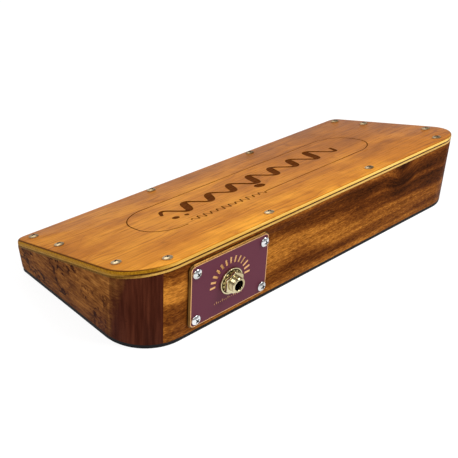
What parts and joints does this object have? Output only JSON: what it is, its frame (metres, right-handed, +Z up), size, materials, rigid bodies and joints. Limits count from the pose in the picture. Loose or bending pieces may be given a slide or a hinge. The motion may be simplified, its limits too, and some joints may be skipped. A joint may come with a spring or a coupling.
{
  "type": "foot percussion box",
  "caption": "Wedge-shaped wooden foot percussion box with a screwed plywood top, rubber underside, internal jingle rack, contact sensor and a quarter inch jack on an engraved plate.",
  "frame": {"origin": "middle of the case's plan on the underside of the rubber mat", "axes": "+X along the case, +Y from the tall toe side with the jack to the low heel side, +Z up"},
  "size_m": [0.3, 0.1325, 0.0544],
  "materials": {
    "cherry_face": "oiled cherry veneer, satin to gloss",
    "light_ply": "clear finished ply edge",
    "dark_ply": "dark cross ply edge",
    "pale_ply": "clear finished ply edge",
    "side_wood": "figured hardwood, gloss oil",
    "end_wood": "darker hardwood, end grain at the corners, gloss oil",
    "birch_ply": "raw birch plywood",
    "mat_rubber": "fine ribbed black rubber",
    "screw_zinc": "yellow zinc plated",
    "screw_steel": "bright zinc plated",
    "plate_brass": "satin brass with bevelled edge",
    "plum_lacquer": "smooth plum engraving lacquer",
    "jack_nickel": "bright nickel plate",
    "phenolic": "brown paper phenolic",
    "spring_alloy": "plated spring brass",
    "sensor_brass": "rolled brass",
    "sensor_ceramic": "silvered ceramic",
    "black_foam": "closed cell foam",
    "red_insulation": "soft vinyl insulation",
    "black_insulation": "soft vinyl insulation",
    "solder": "dull solder",
    "nylon": "natural nylon",
    "rack_beech": "sanded beech",
    "pin_steel": "bright wire steel",
    "jingle_brass": "pressed brass"
  },
  "bodies": {
    "case": {"face_veneer": "cherry_face", "upper_ply": "light_ply", "dark_ply": "dark_ply", "lower_ply": "pale_ply", "toe_side_board": "side_wood", "heel_side_board": "side_wood", "left_end_board": "end_wood", "right_end_board": "end_wood", "base_panel": "birch_ply", "rubber_mat": "mat_rubber", "top_screws": "screw_zinc", "base_screws": "screw_steel", "jack_plate": "plate_brass", "plate_lacquer": "plum_lacquer", "plate_screws": "screw_steel", "cupped_washer": "jack_nickel", "tooth_washer": "jack_nickel", "jack_nut": "jack_nickel", "jack_bushing": "jack_nickel", "jack_frame": "jack_nickel", "stack_insulators": "phenolic", "tip_terminal": "spring_alloy", "stack_rivets": "spring_alloy", "sensor_disc": "sensor_brass", "sensor_crystal": "sensor_ceramic", "sensor_foam": "black_foam", "signal_wire": "red_insulation", "ground_wire": "black_insulation", "solder_joints": "solder", "wire_clips": "nylon", "lower_rail": "rack_beech", "upper_rail": "rack_beech", "rail_posts": "rack_beech", "jingle_pins": "pin_steel", "rail_screws": "screw_steel"},
    "tip_contact": {"tip_spring": "spring_alloy"},
    "left_lower_jingle": {"jingle_left_lower": "jingle_brass"},
    "left_upper_jingle": {"jingle_left_upper": "jingle_brass"},
    "middle_lower_jingle": {"jingle_middle_lower": "jingle_brass"},
    "middle_upper_jingle": {"jingle_middle_upper": "jingle_brass"},
    "right_lower_jingle": {"jingle_right_lower": "jingle_brass"},
    "right_upper_jingle": {"jingle_right_upper": "jingle_brass"}
  },
  "joints": [
    {"name": "tip_contact_flex", "type": "hinge", "parent": "case", "child": "tip_contact", "pos_m": [-0.085, -0.05155, 0.03655], "axis": [1, 0, 0], "range_deg": [0, 6], "stiffness_Nm_per_rad": 0.12},
    {"name": "left_lower_rattle", "type": "slide", "parent": "case", "child": "left_lower_jingle", "axis": [0, 0, 1], "range_m": [0, 0.002]},
    {"name": "left_upper_rattle", "type": "slide", "parent": "left_lower_jingle", "child": "left_upper_jingle", "axis": [0, 0, 1], "range_m": [0, 0.002]},
    {"name": "middle_lower_rattle", "type": "slide", "parent": "case", "child": "middle_lower_jingle", "axis": [0, 0, 1], "range_m": [0, 0.002]},
    {"name": "middle_upper_rattle", "type": "slide", "parent": "middle_lower_jingle", "child": "middle_upper_jingle", "axis": [0, 0, 1], "range_m": [0, 0.002]},
    {"name": "right_lower_rattle", "type": "slide", "parent": "case", "child": "right_lower_jingle", "axis": [0, 0, 1], "range_m": [0, 0.002]},
    {"name": "right_upper_rattle", "type": "slide", "parent": "right_lower_jingle", "child": "right_upper_jingle", "axis": [0, 0, 1], "range_m": [0, 0.002]}
  ]
}
